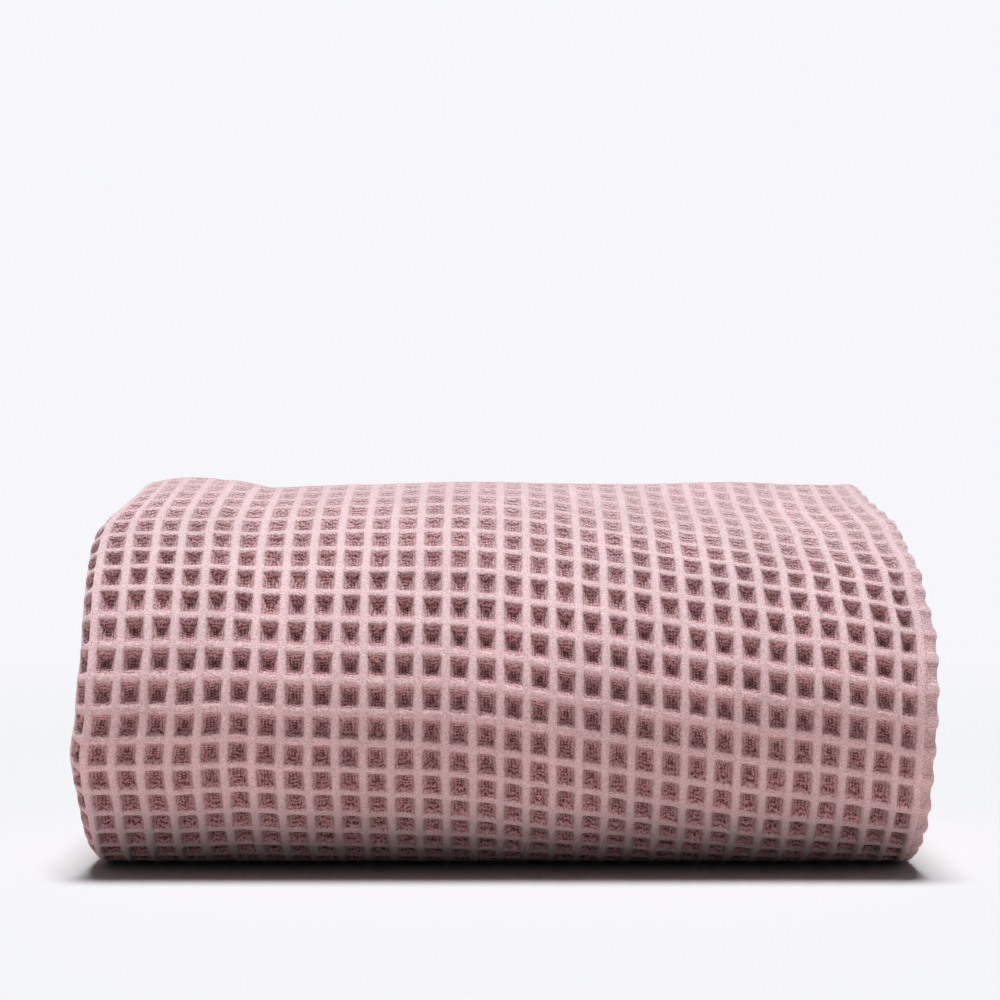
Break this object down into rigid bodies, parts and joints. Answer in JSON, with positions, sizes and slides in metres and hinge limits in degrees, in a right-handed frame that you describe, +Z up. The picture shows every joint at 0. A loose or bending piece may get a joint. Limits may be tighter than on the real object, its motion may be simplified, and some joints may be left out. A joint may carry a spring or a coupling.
{
  "type": "folded waffle cotton throw",
  "caption": "Waffle weave cotton throw, folded into a soft brick with a round front fold.",
  "frame": {"origin": "on the surface it rests on, under the middle of its box", "axes": "+X across the round front fold, to the viewer's right; +Y from the front fold to the back; +Z up"},
  "size_m": [0.3322, 0.2456, 0.1557],
  "materials": {
    "cotton": "dusty pink waffle weave cotton, matt, with deep square cells and raised ridges"
  },
  "bodies": {
    "root": {"throw": "cotton"}
  },
  "joints": []
}
